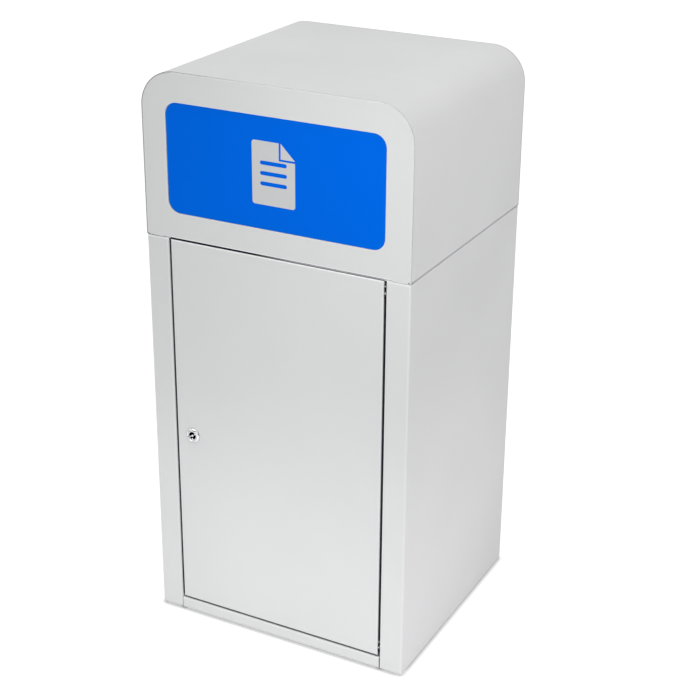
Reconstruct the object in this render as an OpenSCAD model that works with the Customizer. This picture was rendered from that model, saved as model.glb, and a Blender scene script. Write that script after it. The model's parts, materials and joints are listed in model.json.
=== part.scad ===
// Free-standing recycling bin in folded sheet steel: a cabinet with a hinged, locked door, and above it
// a hood with a top-hung push flap. Millimetres, +Z up. The front faces -Y.
// The origin lies on the floor under the middle of the cabinet.

/* [Overall] */
// Width of the cabinet and the hood
body_w = 400; // [370:1:480]
// Depth of the cabinet and the hood
body_d = 360; // [345:1:460]
// Height of the cabinet's sheet, from its lower edge to the seam under the hood
body_h = 589; // [585:1:760]
// Height of the hood above the seam
hood_h = 230; // [222:1:300]
// Radius of the bend between the hood's sides and top
hood_r = 50; // [35:1:62]
// Gap between the floor and the cabinet's lower edge
floor_gap = 3; // [2:0.5:12]
// Height of the seam between cabinet and hood, filled by the gasket
seam_gap = 1; // [0.8:0.1:3]

/* [Sheet metal] */
// Thickness of the cabinet and hood sheet
shell_t = 1.5; // [1.2:0.1:2]
// Outside radius of the bends along the visible corners
bend_r = 3; // [2.5:0.1:6]
// Width of each front jamb beside the door
jamb_w = 35; // [30:1:50]
// Depth of the fold that each jamb turns back into the cabinet
jamb_return = 20; // [19:0.5:30]
// Height of the notch at the top of each jamb fold
relief_h = 5; // [2:0.5:12]
// Clearance between sheets that fit inside one another
sheet_fit = 0.2; // [0.1:0.05:0.5]

/* [Base pan] */
// Height of the base pan, whose front shows as the strip under the door
strip_h = 17; // [16:0.5:30]
// Thickness of the base pan's sheet
pan_t = 1.5; // [1:0.1:2.5]
// Joint between the strip and the jambs
strip_gap = 0.6; // [0.3:0.1:1.5]

/* [Feet] */
// Diameter of a foot pad
pad_d = 30; // [22:1:36]
// Height of a foot pad
pad_h = 8; // [7:0.5:9]
// Diameter of a foot stud
stud_d = 8; // [6:0.5:10]
// Length of the stud above the base pan's floor
stud_above = 9; // [8:0.5:14]
// Size across the flats of the nuts on the studs
stud_nut_af = 13; // [11:0.5:16]
// Height of a stud nut
stud_nut_h = 3; // [2:0.1:3.5]
// Distance of a foot from the cabinet's side
foot_inset_x = 26; // [23:0.5:28]
// Distance of a foot from the cabinet's front and back
foot_inset_y = 44; // [42:1:80]

/* [Top frame] */
// Height of the frame that stiffens the cabinet's top
frame_h = 28; // [15:1:30]
// Width of the frame's flange
frame_flange = 25; // [22:1:30]
// Thickness of the frame's sheet
frame_t = 1.5; // [1:0.1:2.5]

/* [Hood] */
// Thickness of the hood's front and back panels
panel_t = 1.5; // [1.2:0.1:2]
// Fine joint between the hood's wrap and its front and back panels
panel_joint = 0.5; // [0.1:0.1:0.8]
// Depth of the tabs that the panels have inside the wrap
panel_tab = 12; // [8:1:20]
// Length of the notch at each end of the wrap's lower edges
hood_relief_l = 5; // [2:0.5:10]
// Width of the notch in each lower corner of the hood's panels
hood_relief_w = 2.5; // [1:0.5:5]
// Height of these notches
hood_relief_h = 2; // [2:0.1:4]
// Setback of the gasket from the outer faces
gasket_setback = 0.8; // [0.3:0.1:2]
// Diameter of the hood screws
hood_screw_d = 5; // [4:0.5:6]
// Diameter of a hood screw's head
hood_screw_head_d = 9; // [8:0.5:11]
// Size across the flats of a hood screw's nut
hood_nut_af = 8; // [7:0.5:10]

/* [Inlet] */
// Width of the hood's front beside the opening
inlet_side = 37; // [35:0.5:60]
// Height of the hood's front above the opening
inlet_above = 40; // [38:0.5:60]
// Height of the hood's front below the opening
inlet_below = 37; // [25:0.5:60]
// Corner radius of the opening
inlet_r = 18; // [5:0.5:30]

/* [Flap] */
// Thickness of the flap's sheet
flap_t = 1.2; // [1:0.1:1.4]
// Gap between the flap and the hood's front panel
flap_gap = 0.8; // [0.7:0.1:2]
// How far the flap reaches past the opening at its sides and bottom
flap_lap = 7; // [4:0.5:8]
// Depth of the flap's folded edges
flap_fold = 25; // [22:1:32]
// Outside radius of the flap's folds
flap_bend_r = 2.5; // [2:0.1:4]
// Height of the flap's rod above the opening
rod_rise = 12; // [10:0.5:14]
// Diameter of the rod
rod_d = 6; // [5:0.5:6.5]
// Inside diameter of the roll along the flap's top edge
roll_d = 9; // [8.5:0.5:11]
// Radial clearance of the bushes on the rod
rod_clear = 0.08; // [0.03:0.01:0.1]
// Length of a flap bush inside the roll
flap_bush_l = 12; // [6:1:25]
// Thickness of a flap bush's flange
flap_bush_flange = 1; // [0.6:0.1:2]
// Diameter of the closing weight
weight_d = 14; // [10:0.5:16]
// Diameter of the riveted ends of the closing weight
weight_end_d = 6; // [4:0.5:8]
// Thickness of a flap bracket
flap_bracket_t = 2; // [1.5:0.1:3]
// Thickness of a felt bumper
bumper_t = 0.5; // [0.3:0.1:0.6]

/* [Door] */
// Gap round the door at its sides and bottom
door_gap = 3; // [2.5:0.1:4]
// Gap between the door and the seam
door_top_gap = 1; // [0.8:0.1:4]
// Thickness of the door's sheet
door_t = 1.2; // [1:0.1:1.5]
// Depth of the door's folded edges
door_fold = 18; // [17:0.5:18.5]
// Width of the lips at the back of the folded edges
door_lip = 12; // [6:0.5:13]
// Outside radius of the door's folds
door_bend_r = 2; // [1.6:0.1:3]
// Width of the stiffener's hat section
stiffener_w = 40; // [20:1:80]
// Depth of the stiffener
stiffener_d = 12; // [6:0.5:14]
// Width of each flange of the stiffener
stiffener_flange = 15; // [8:1:25]
// Thickness of the stiffener's sheet
stiffener_t = 1; // [0.8:0.1:1.5]
// Distance between the stiffener's ends and the door's ends
stiffener_end = 40; // [25:1:120]
// Thickness of a rubber buffer that the door closes on
buffer_t = 1.9; // [1.5:0.1:1.9]
// Diameter of a rubber buffer
buffer_d = 8; // [5:0.5:9]
// Thickness of a door stop's plate
stop_t = 2; // [1.5:0.1:3]
// Height of a door stop
stop_h = 24; // [14:1:40]
// Distance of the door stops from the top and bottom of the cabinet
stop_end = 110; // [60:1:200]

/* [Hinges] */
// Distance of the hinge axis from the door's edge and front face
pivot_inset = 7; // [6.5:0.1:7.4]
// Diameter of the hinge pins
pin_d = 5; // [4:0.5:5]
// Radial clearance of the bushes on the pins
pin_clear = 0.08; // [0.03:0.01:0.1]
// Thickness of the two plates of a hinge
hinge_t = 2.5; // [2:0.1:3]
// Space between the two plates of a hinge
hinge_mouth = 7; // [6.6:0.1:9]
// Depth of the bar that carries a hinge plate behind the jamb fold
hinge_bar = 8; // [6:0.5:10]
// Height of the lower hinge's first plate above the cabinet's lower edge
hinge_low = 26.5; // [26.5:0.5:60]
// Depth of the upper hinge's first plate below the seam
hinge_high = 24; // [22.5:0.5:40]
// Thickness of the washer between a hinge's first plate and the lug
washer_t = 1.2; // [0.8:0.1:1.6]
// Thickness of a door lug
lug_t = 3; // [2:0.1:3.5]
// Thickness of the plate that braces a door lug past the end of its pin
lug_brace_t = 2; // [1.5:0.1:2.5]
// How far the lug and its brace reach into the gap beside the door
lug_out = 1.6; // [1:0.1:1.8]
// Outside diameter of a door bush
bush_d = 8; // [7:0.5:8]

/* [Lock] */
// Distance of the lock from the door's free edge
lock_inset = 25.7; // [24:0.1:40]
// Height of the lock above the cabinet's lower edge
lock_rise = 295.6; // [200:0.1:400]
// Diameter of the lock's chrome ring
bezel_d = 22; // [20.5:0.5:26]
// Height of the ring in front of the door
bezel_h = 3.5; // [2.5:0.1:5]
// Height of the ring at its rim
bezel_rim = 1; // [0.5:0.1:2]
// Diameter of the lock's barrel
barrel_d = 18; // [17.5:0.5:19]
// Diameter of the turning core
core_d = 14; // [13.5:0.1:14.5]
// Radial clearance of the core in the barrel
core_clear = 0.08; // [0.03:0.01:0.1]
// Diameter of the round key hole in the core
keyway_d = 11.6; // [10.5:0.1:12]
// Depth of the key hole
keyway_depth = 6; // [3:0.5:10]
// Diameter of the pin in the key hole
key_pin_d = 3; // [2:0.1:4]
// Thickness of the cam
cam_t = 2.5; // [2:0.1:3]
// Width of the cam
cam_w = 14; // [12:0.5:18]
// How far the cam reaches behind the jamb fold
cam_hold = 8; // [4:0.5:12]
// Gap between the cam and the end of the jamb fold
cam_gap = 0.6; // [0.4:0.1:1.2]
// Size of the square end that turns the cam
tang = 7; // [5:0.1:7.5]

/* [Liner] */
// Gap between the liner and the jamb folds that it passes, at each side
liner_side_gap = 15; // [13:0.5:40]
// Distance of the liner behind the cabinet's front
liner_front_gap = 43; // [40:1:80]
// Distance of the liner from the cabinet's back
liner_back_gap = 27; // [20:1:60]
// Distance of the liner's rim below the seam
liner_top_gap = 42; // [40:1:120]
// Thickness of the liner's sheet
liner_t = 1; // [0.8:0.1:1.5]
// Radius of the liner's corners
liner_r = 14; // [6:1:40]
// Radius of the wired rim
rim_r = 3; // [2:0.1:3.5]
// Diameter of the handle wire
wire_d = 5; // [4:0.5:5.5]
// Radial clearance of the handle wire in its lugs
wire_clear = 0.08; // [0.05:0.01:0.1]
// Width of a handle between its legs' centres
handle_w = 90; // [60:1:140]
// Drop of a handle below its pivots
handle_drop = 30; // [22:1:31]
// Radius of the handle's lower bends, at the wire's centre
handle_bend = 8; // [5:0.5:14]
// Distance of the handle's pivots from the liner's wall
handle_off = 7; // [6:0.1:8]
// Distance of the handle's pivots below the liner's rim
handle_below = 45; // [15:1:80]
// Width of a handle lug along the wire
handle_lug_w = 8; // [5:0.5:12]

/* [Hidden] */
$fn = 64;

// Cutters pass this far through what they cut
over = 1;
// Gap left between pieces that rest against each other across a joint
rest_gap = 0.3;
// Radial fit of a pin, stud or screw in a piece that it doesn't turn in
rod_fit = 0.05;

// Main planes
front_y = -body_d / 2;
back_y = body_d / 2;
side_x = body_w / 2;
seam_z = floor_gap + body_h;
hood_z = seam_z + seam_gap;
top_z = hood_z + hood_h;
inner_x = side_x - shell_t - sheet_fit;
inner_back_y = back_y - shell_t - sheet_fit;
open_x = side_x - jamb_w;
fold_y = front_y + jamb_return;
inner_corner_r = bend_r - shell_t - sheet_fit;

// Base pan and feet
pan_top_z = floor_gap + strip_h;
pan_floor_z = pan_top_z - pan_t;
foot_places = [for (x = [-1, 1], y = [-1, 1]) [x * (side_x - foot_inset_x), y * (back_y - foot_inset_y)]];
stud_fit = 0.25;
pad_rim = 2;
pad_socket = 4;

// Top frame and hood fixings
hinge_bar_gap = 0.5;
hinge_bar_y = fold_y + hinge_bar_gap;
frame_gap = 1.5;
frame_front_y = hinge_bar_y + hinge_bar + frame_gap;
flange_line_x = inner_x - frame_flange / 2;
side_screw_inset = 72;
side_screw_y = back_y - side_screw_inset;
hood_screw_places = concat(
    [for (x = [-1, 1], y = [-1, 1]) [x * flange_line_x, y * side_screw_y]],
    [[0, frame_front_y + frame_flange / 2], [0, inner_back_y - frame_flange / 2]]
);
screw_fit = 0.3;
screw_head_h = 3;
screw_end = 1;
hood_relief_edge = 1.5;
hood_nut_h = 4;
wrap_flange = shell_t + sheet_fit + frame_flange;
flange_joint = 1;
front_flange_d = frame_front_y + frame_flange - front_y;
back_flange_d = back_y - inner_back_y + frame_flange;
panel_flange_x = side_x - wrap_flange - flange_joint;

// Inlet and flap
inlet_w = body_w - 2 * inlet_side;
inlet_h = hood_h - inlet_above - inlet_below;
inlet_low_z = hood_z + inlet_below;
inlet_high_z = inlet_low_z + inlet_h;
flap_y = front_y + panel_t + flap_gap;
flap_x = inlet_w / 2 + flap_lap;
flap_z = inlet_low_z - flap_lap;
roll_r = roll_d / 2 + flap_t;
rod_y = flap_y + roll_r;
rod_z = inlet_high_z + rod_rise;
roll_clear = 4;
flap_fold_top_z = rod_z - roll_r - roll_clear;
weight_y = flap_y + flap_fold - flap_t - weight_d / 2;
weight_z = flap_z + flap_t + weight_d / 2 + rest_gap;
flap_bracket_x = flap_x + flap_bush_flange + rest_gap;
flap_bracket_leg = 10;
flap_bracket_behind = 12;
flap_bracket_below = 15;
flap_bracket_above = 8;
clip_t = 1;
clip_w = 1.2;
rod_end = 1.5;
bumper_w = 24;
bumper_edge = 0.5;
bumper_inset = 42;
bumper_x = inlet_w / 2 - bumper_inset;

// Door
door_x = open_x - door_gap;
door_z = pan_top_z + door_gap;
door_h = seam_z - door_top_gap - door_z;
door_back_y = front_y + door_fold;

// Hinges
hinge_x = door_x - pivot_inset;
hinge_y = front_y + pivot_inset;
hinge_zs = [floor_gap + hinge_low, seam_z - hinge_high];
hinge_nose_gap = 0.8;
hinge_nose_r = pivot_inset - door_t - hinge_nose_gap;
hinge_neck_right = 2;
hinge_bar_beyond = 14;
hinge_bar_end_x = open_x + shell_t + hinge_bar_beyond;
hinge_tab_t = 2.5;
hinge_tab_end = 6;
hinge_step = hinge_t + hinge_mouth;
hinge_h = hinge_step + hinge_t;
hinge_notch_side = 4;
hinge_notch_end = 1.5;
pin_head_w = 1.5;
pin_head_h = 1.5;
pin_end = 1;
washer_w = 2;
lug_rise = hinge_t + washer_t + rest_gap;
lug_reach = 30;
lug_brace_gap = 1;
lug_brace_rise = hinge_h + pin_end + lug_brace_gap;
lug_tip_w = 9;
lug_notch_end = 0.5;
lug_leg_w = 20;
lug_leg_t = 2;
bush_flange_t = 1;
bush_flange_w = 1;

// Door stops on the jamb at the free side
stop_zs = [floor_gap + stop_end, seam_z - stop_end];
stop_y = max(door_back_y + rest_gap + buffer_t, fold_y + sheet_fit);
stop_tip_x = -door_x + door_lip;
stop_tab_d = 10;

// Lock
lock_x = -door_x + lock_inset;
lock_z = floor_gap + lock_rise;
cam_y = fold_y + cam_gap;
cam_reach = lock_inset + door_gap + shell_t + cam_hold;
lock_nut_h = 5;
lock_nut_w = 2.5;
lock_nut_af = barrel_d + 2 * lock_nut_w;
lock_mouth_w = 1;
lock_mouth_r = core_d / 2 + core_clear + lock_mouth_w;
lock_mouth_depth = 1;
core_setback = 1.6;
core_web_w = 1.3;
core_web_setback = 1;
core_stop_gap = 2;
cam_screw_d = 4;
cam_screw_af = 8;
cam_screw_head = 3;
cam_screw_depth = 9;
cam_screw_end = 1;

// Liner
liner_w = 2 * (open_x - liner_side_gap);
liner_d = body_d - liner_front_gap - liner_back_gap;
liner_y = (liner_front_gap - liner_back_gap) / 2;
liner_z = pan_top_z;
liner_top_z = seam_z - liner_top_gap;
liner_h = liner_top_z - liner_z;
handle_x = liner_w / 2 + handle_off;
handle_z = liner_top_z - handle_below;
wire_r = wire_d / 2;
handle_lug_wall = 2;
handle_lug_gap = 0.5;
handle_lug_base_t = 1.5;
handle_lug_base_end = 3;
handle_wire_end = 1;
handle_lug_y = handle_w / 2 + wire_r + handle_lug_gap;
handle_lug_r = wire_r + wire_clear + handle_lug_wall;

// Colours
coat = [0.86, 0.87, 0.87];
steel = [0.7, 0.72, 0.74];
galvanised = [0.66, 0.69, 0.71];
rubber = [0.12, 0.12, 0.13];
nylon = [0.93, 0.92, 0.88];

// Sheet bent along a path, thickness to the left

function leg_dir(p, i) = (p[i + 1] - p[i]) / norm(p[i + 1] - p[i]);
function turns_left(u, v) = u.x * v.y - u.y * v.x > 0;
function bend_trim(p, r, t, i) = i <= 0 || i >= len(p) - 1 ? 0
    : turns_left(leg_dir(p, i - 1), leg_dir(p, i)) ? r[i] : r[i] - t;

// p holds the corners of the right-hand face, r the outside radius at each corner, all bends square
module bent_sheet(p, r, t) {
    for (i = [0 : len(p) - 2]) {
        u = leg_dir(p, i);
        run = norm(p[i + 1] - p[i]) - bend_trim(p, r, t, i) - bend_trim(p, r, t, i + 1);
        translate(p[i] + u * bend_trim(p, r, t, i))
            rotate(atan2(u.y, u.x))
                square([run, t]);
    }
    for (i = [1 : len(p) - 2]) {
        u = leg_dir(p, i - 1);
        left = turns_left(u, leg_dir(p, i));
        across = left ? r[i] : t - r[i];
        translate(p[i] - u * bend_trim(p, r, t, i) + [-u.y, u.x] * across)
            rotate(atan2(u.y, u.x))
                intersection() {
                    difference() {
                        circle(r = r[i]);
                        circle(r = r[i] - t);
                    }
                    translate([0, left ? -r[i] : 0])
                        square(r[i]);
                }
    }
}

// Rectangle centred on the origin with round corners
module round_rect(w, h, r) {
    square([w - 2 * r, h], center = true);
    square([w, h - 2 * r], center = true);
    for (x = [-1, 1], y = [-1, 1])
        translate([x * (w / 2 - r), y * (h / 2 - r)])
            circle(r = r);
}

// Hood outline seen from the front, from the hood's lower edge up, with its upper corners round
module hood_outline(grow) {
    r = hood_r + grow;
    w = body_w + 2 * grow;
    translate([-w / 2, 0])
        square([w, hood_h - hood_r]);
    translate([-w / 2 + r, 0])
        square([w - 2 * r, hood_h + grow]);
    for (x = [-1, 1])
        translate([x * (w / 2 - r), hood_h - hood_r])
            circle(r = r);
}

// Extrudes a front view shape backwards from a plane
module from_front(y, depth) {
    translate([0, y + depth, 0])
        rotate([90, 0, 0])
            linear_extrude(depth)
                children();
}

// Extrudes a side view shape, drawn as depth and height, across a width centred on the middle
module across(width) {
    rotate([90, 0, 90])
        translate([0, 0, -width / 2])
            linear_extrude(width)
                children();
}

// Block whose front edges are round on all four sides, front face at y = 0, lower edge at z = 0
module folded_block(w, h, d, r) {
    intersection() {
        linear_extrude(h) {
            translate([-w / 2, r])
                square([w, d - r]);
            translate([-w / 2 + r, 0])
                square([w - 2 * r, d]);
            for (x = [-1, 1])
                translate([x * (w / 2 - r), r])
                    circle(r = r);
        }
        across(w + 2) {
            translate([r, 0])
                square([d - r, h]);
            translate([0, r])
                square([d, h - 2 * r]);
            for (z = [r, h - r])
                translate([r, z])
                    circle(r = r);
        }
    }
}

// Hexagon prism by its size across the flats
module hex(af, h) {
    cylinder(d = af / cos(30), h = h, $fn = 6);
}

// Turned shape about an axis that points to the front, profile drawn as radius and height
module turned_forward() {
    rotate([90, 0, 0])
        rotate_extrude()
            children();
}

// Cabinet

module body_shell() {
    corners = [
        [open_x, fold_y], [open_x, front_y], [side_x, front_y], [side_x, back_y],
        [-side_x, back_y], [-side_x, front_y], [-open_x, front_y], [-open_x, fold_y]
    ];
    radii = [for (c = corners) bend_r];
    color(coat)
        difference() {
            translate([0, 0, floor_gap])
                linear_extrude(body_h)
                    bent_sheet(corners, radii, shell_t);
            for (x = [-1, 1])
                translate([x * (open_x + shell_t / 2) - shell_t, front_y + bend_r, seam_z - relief_h])
                    cube([2 * shell_t, jamb_return, relief_h + over]);
        }
}

// Plan of the base pan, set in by a wall: a tongue between the jamb folds and the part behind them
module pan_plan(inset) {
    tongue_x = open_x - strip_gap - inset;
    rear_x = inner_x - inset;
    rear_y = fold_y + sheet_fit + inset;
    rear_d = inner_back_y - inset - rear_y;
    translate([-tongue_x, front_y + inset])
        square([2 * tongue_x, rear_y - front_y]);
    translate([0, rear_y + rear_d / 2])
        round_rect(2 * rear_x, rear_d, inner_corner_r);
}

module base_pan() {
    color(coat)
        difference() {
            intersection() {
                translate([0, 0, floor_gap])
                    linear_extrude(strip_h)
                        pan_plan(0);
                across(body_w)
                    translate([front_y, 0]) {
                        translate([bend_r, 0])
                            square([body_d, pan_top_z]);
                        square([body_d, pan_top_z - bend_r]);
                        translate([bend_r, pan_top_z - bend_r])
                            circle(r = bend_r);
                    }
            }
            intersection() {
                translate([0, 0, floor_gap - over])
                    linear_extrude(strip_h + over - pan_t)
                        pan_plan(pan_t);
                across(body_w)
                    translate([front_y + pan_t, 0]) {
                        translate([bend_r - pan_t, -over])
                            square([body_d, pan_floor_z + over]);
                        translate([0, -over])
                            square([body_d, pan_floor_z - bend_r + pan_t + over]);
                        translate([bend_r - pan_t, pan_floor_z - bend_r + pan_t])
                            circle(r = bend_r - pan_t);
                    }
            }
            for (p = foot_places)
                translate([p.x, p.y, pan_floor_z - over])
                    cylinder(d = stud_d + 2 * stud_fit, h = pan_t + 2 * over);
        }
}

module foot_pads() {
    color(rubber)
        for (p = foot_places)
            translate([p.x, p.y, 0])
                difference() {
                    union() {
                        cylinder(d = pad_d, h = pad_h - pad_rim);
                        translate([0, 0, pad_h - pad_rim])
                            cylinder(d1 = pad_d, d2 = pad_d - 2 * pad_rim, h = pad_rim);
                    }
                    translate([0, 0, pad_h - pad_socket])
                        cylinder(d = stud_d + 2 * rod_fit, h = pad_socket + over);
                }
}

module foot_studs() {
    low_z = pad_h - pad_socket;
    color(steel)
        for (p = foot_places)
            translate([p.x, p.y, low_z])
                cylinder(d = stud_d, h = pan_top_z + stud_above - low_z);
}

module foot_nuts() {
    color(steel)
        for (p = foot_places, z = [pan_floor_z - stud_nut_h, pan_top_z])
            translate([p.x, p.y, z])
                difference() {
                    hex(stud_nut_af, stud_nut_h);
                    translate([0, 0, -over])
                        cylinder(d = stud_d + 2 * rod_fit, h = stud_nut_h + 2 * over);
                }
}

// Plan rectangle inside the cabinet behind the hinge bars, set in by a distance
module frame_plan(inset) {
    plan_d = inner_back_y - frame_front_y;
    translate([0, frame_front_y + plan_d / 2])
        round_rect(2 * (inner_x - inset), plan_d - 2 * inset, inner_corner_r);
}

module screw_holes(z, h) {
    for (p = hood_screw_places)
        translate([p.x, p.y, z])
            cylinder(d = hood_screw_d + 2 * screw_fit, h = h);
}

module top_frame() {
    color(steel)
        difference() {
            translate([0, 0, seam_z - frame_h])
                linear_extrude(frame_h)
                    frame_plan(0);
            translate([0, 0, seam_z - frame_h - over])
                linear_extrude(frame_h - frame_t + over)
                    frame_plan(frame_t);
            translate([0, 0, seam_z - frame_h - over])
                linear_extrude(frame_h + 2 * over)
                    frame_plan(frame_flange);
            screw_holes(seam_z - frame_t - over, frame_t + 2 * over);
        }
}

// Hood

module hood_gasket() {
    color(rubber)
        difference() {
            translate([0, 0, seam_z])
                linear_extrude(seam_gap)
                    difference() {
                        round_rect(body_w - 2 * gasket_setback, body_d - 2 * gasket_setback, bend_r);
                        frame_plan(frame_flange);
                    }
            screw_holes(seam_z - over, seam_gap + 2 * over);
        }
}

module hood_wrap() {
    corners = [
        [side_x - wrap_flange, hood_z], [side_x, hood_z], [side_x, top_z],
        [-side_x, top_z], [-side_x, hood_z], [-side_x + wrap_flange, hood_z]
    ];
    radii = [bend_r, bend_r, hood_r, hood_r, bend_r, bend_r];
    wrap_y = front_y + panel_t + panel_joint;
    color(coat)
        difference() {
            from_front(wrap_y, -2 * wrap_y)
                bent_sheet(corners, radii, shell_t);
            for (y = [wrap_y - over, -wrap_y - hood_relief_l])
                translate([-side_x - over, y, hood_z - over])
                    cube([body_w + 2 * over, hood_relief_l + over, hood_relief_h + over]);
            screw_holes(hood_z - over, shell_t + 2 * over);
        }
}

// Hood panel with its lower edge folded in, drawn as the front one
module hood_panel(flange_d) {
    tab_x = inner_x - panel_t;
    tab_z = hood_z + wrap_flange;
    tab_h = hood_h - hood_r - wrap_flange;
    from_front(front_y, panel_t)
        translate([0, hood_z])
            difference() {
                hood_outline(0);
                translate([-panel_flange_x, -over])
                    square([2 * panel_flange_x, bend_r + over]);
                for (x = [-1, 1])
                    translate([x * (side_x - hood_relief_edge - hood_relief_w / 2), 0])
                        square([hood_relief_w, 2 * hood_relief_h], center = true);
            }
    across(2 * panel_flange_x)
        bent_sheet(
            [[front_y + flange_d, hood_z + panel_t], [front_y + panel_t, hood_z + panel_t],
             [front_y + panel_t, hood_z + bend_r + over]],
            [bend_r, bend_r, bend_r], panel_t
        );
    for (x = [-1, 1])
        translate([x * (tab_x + panel_t / 2) - panel_t / 2, front_y + panel_t, tab_z])
            cube([panel_t, panel_tab, tab_h]);
}

module hood_front() {
    color(coat)
        difference() {
            hood_panel(front_flange_d);
            from_front(front_y - over, panel_t + 2 * over)
                translate([0, inlet_low_z + inlet_h / 2])
                    round_rect(inlet_w, inlet_h, inlet_r);
            screw_holes(hood_z - over, panel_t + 2 * over);
        }
}

module hood_back() {
    color(coat)
        difference() {
            mirror([0, 1, 0])
                hood_panel(back_flange_d);
            screw_holes(hood_z - over, panel_t + 2 * over);
        }
}

module hood_screws() {
    color(steel)
        for (p = hood_screw_places)
            translate([p.x, p.y, seam_z - frame_t]) {
                translate([0, 0, -screw_head_h])
                    cylinder(d = hood_screw_head_d, h = screw_head_h);
                cylinder(d = hood_screw_d, h = frame_t + seam_gap + shell_t + hood_nut_h + screw_end);
            }
}

module hood_nuts() {
    color(steel)
        for (p = hood_screw_places)
            translate([p.x, p.y, hood_z + max(shell_t, panel_t)])
                difference() {
                    hex(hood_nut_af, hood_nut_h);
                    translate([0, 0, -over])
                        cylinder(d = hood_screw_d + 2 * rod_fit, h = hood_nut_h + 2 * over);
                }
}

// Hinges: two cranked plates reach from behind the jamb fold to the axis inside the door's own fold,
// and the door's lug turns between them

module hinge_bracket(z) {
    bar_right = hinge_bar_end_x - hinge_x;
    tab_y = front_y + shell_t + bend_r;
    color(coat) {
        difference() {
            for (step = [0, hinge_step])
                translate([hinge_x, hinge_y, z + step])
                    linear_extrude(hinge_t) {
                        circle(r = hinge_nose_r);
                        translate([-hinge_nose_r, 0])
                            square([hinge_nose_r + hinge_neck_right, hinge_bar_y + hinge_bar - hinge_y]);
                        translate([-hinge_nose_r, hinge_bar_y - hinge_y])
                            square([hinge_nose_r + bar_right, hinge_bar]);
                    }
            translate([hinge_x, hinge_y, z - over])
                cylinder(d = pin_d + 2 * rod_fit, h = hinge_h + 2 * over);
        }
        translate([open_x + shell_t, tab_y, z - hinge_tab_end])
            cube([hinge_tab_t, hinge_bar_y + hinge_bar - tab_y, hinge_h + 2 * hinge_tab_end]);
    }
}

module hinge_bracket_low() {
    hinge_bracket(hinge_zs[0]);
}

module hinge_bracket_high() {
    hinge_bracket(hinge_zs[1]);
}

module hinge_pins() {
    color(steel)
        for (z = hinge_zs)
            translate([hinge_x, hinge_y, z]) {
                translate([0, 0, -pin_head_h])
                    cylinder(d = pin_d + 2 * pin_head_w, h = pin_head_h);
                cylinder(d = pin_d, h = hinge_h + pin_end);
            }
}

module hinge_washers() {
    color(nylon)
        for (z = hinge_zs)
            translate([hinge_x, hinge_y, z + hinge_t])
                difference() {
                    cylinder(d = pin_d + 2 * washer_w, h = washer_t);
                    translate([0, 0, -over])
                        cylinder(d = pin_d + 2 * rod_fit, h = washer_t + 2 * over);
                }
}

// Door stops: an angle behind the jamb fold with a rubber buffer that the door's lip closes on

module door_stops() {
    outer_x = -open_x - shell_t - stop_t;
    color(steel)
        for (z = stop_zs) {
            translate([outer_x, stop_y, z - stop_h / 2])
                cube([stop_tip_x - outer_x, stop_t, stop_h]);
            translate([outer_x, fold_y - stop_tab_d, z - stop_h / 2])
                cube([stop_t, stop_y + stop_t - fold_y + stop_tab_d, stop_h]);
        }
}

module door_buffers() {
    color(rubber)
        for (z = stop_zs)
            translate([-door_x + door_lip / 2, door_back_y + rest_gap, z])
                rotate([-90, 0, 0])
                    cylinder(d = buffer_d, h = stop_y - door_back_y - rest_gap);
}

// Door: a tray folded back on all four sides, each fold ending in a lip

module door_panel() {
    door_w = 2 * door_x;
    notch_x = hinge_x - hinge_nose_r - hinge_notch_side;
    notch_h = lug_brace_rise + lug_brace_t + lug_notch_end + hinge_notch_end;
    color(coat)
        difference() {
            translate([0, front_y, door_z])
                folded_block(door_w, door_h, door_fold, door_bend_r);
            translate([0, front_y + door_t, door_z + door_t])
                intersection() {
                    folded_block(door_w - 2 * door_t, door_h - 2 * door_t, door_fold, door_bend_r - door_t);
                    translate([-door_w / 2, 0, 0])
                        cube([door_w, door_fold - 2 * door_t, door_h]);
                }
            translate([-door_x + door_lip, front_y + door_fold / 2, door_z + door_lip])
                cube([door_w - 2 * door_lip, door_fold, door_h - 2 * door_lip]);
            for (z = hinge_zs)
                translate([notch_x, front_y + door_bend_r, z - hinge_notch_end])
                    cube([door_x + over - notch_x, door_fold, notch_h]);
            translate([lock_x, front_y - over, lock_z])
                rotate([-90, 0, 0])
                    cylinder(d = barrel_d + 2 * sheet_fit, h = door_t + 2 * over);
        }
}

module door_stiffener() {
    y = front_y + door_t;
    half = stiffener_w / 2;
    corners = [
        [-half - stiffener_flange, y], [-half, y], [-half, y + stiffener_d],
        [half, y + stiffener_d], [half, y], [half + stiffener_flange, y]
    ];
    color(steel)
        translate([0, 0, door_z + stiffener_end])
            linear_extrude(door_h - 2 * stiffener_end)
                bent_sheet(corners, [for (c = corners) 2 * stiffener_t], stiffener_t);
}

// Plan of a door lug, whose tip shows in the gap beside the door
module lug_plan() {
    inner_y = front_y + door_t;
    left_x = hinge_x - lug_reach;
    translate([left_x, inner_y])
        square([door_x - door_bend_r - left_x, door_fold - 2 * door_t - rest_gap]);
    translate([hinge_x, hinge_y - lug_tip_w / 2])
        square([door_x + lug_out - hinge_x, lug_tip_w]);
}

module door_hinge_lugs() {
    brace_z = lug_brace_rise - lug_rise;
    color(coat)
        for (z = hinge_zs)
            translate([0, 0, z + lug_rise]) {
                linear_extrude(lug_t)
                    difference() {
                        lug_plan();
                        translate([hinge_x, hinge_y])
                            circle(d = bush_d + 2 * rod_fit);
                    }
                translate([0, 0, brace_z])
                    linear_extrude(lug_brace_t)
                        lug_plan();
                translate([hinge_x - lug_reach, front_y + door_t, 0])
                    cube([lug_leg_w, lug_leg_t, brace_z + lug_brace_t]);
            }
}

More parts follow.
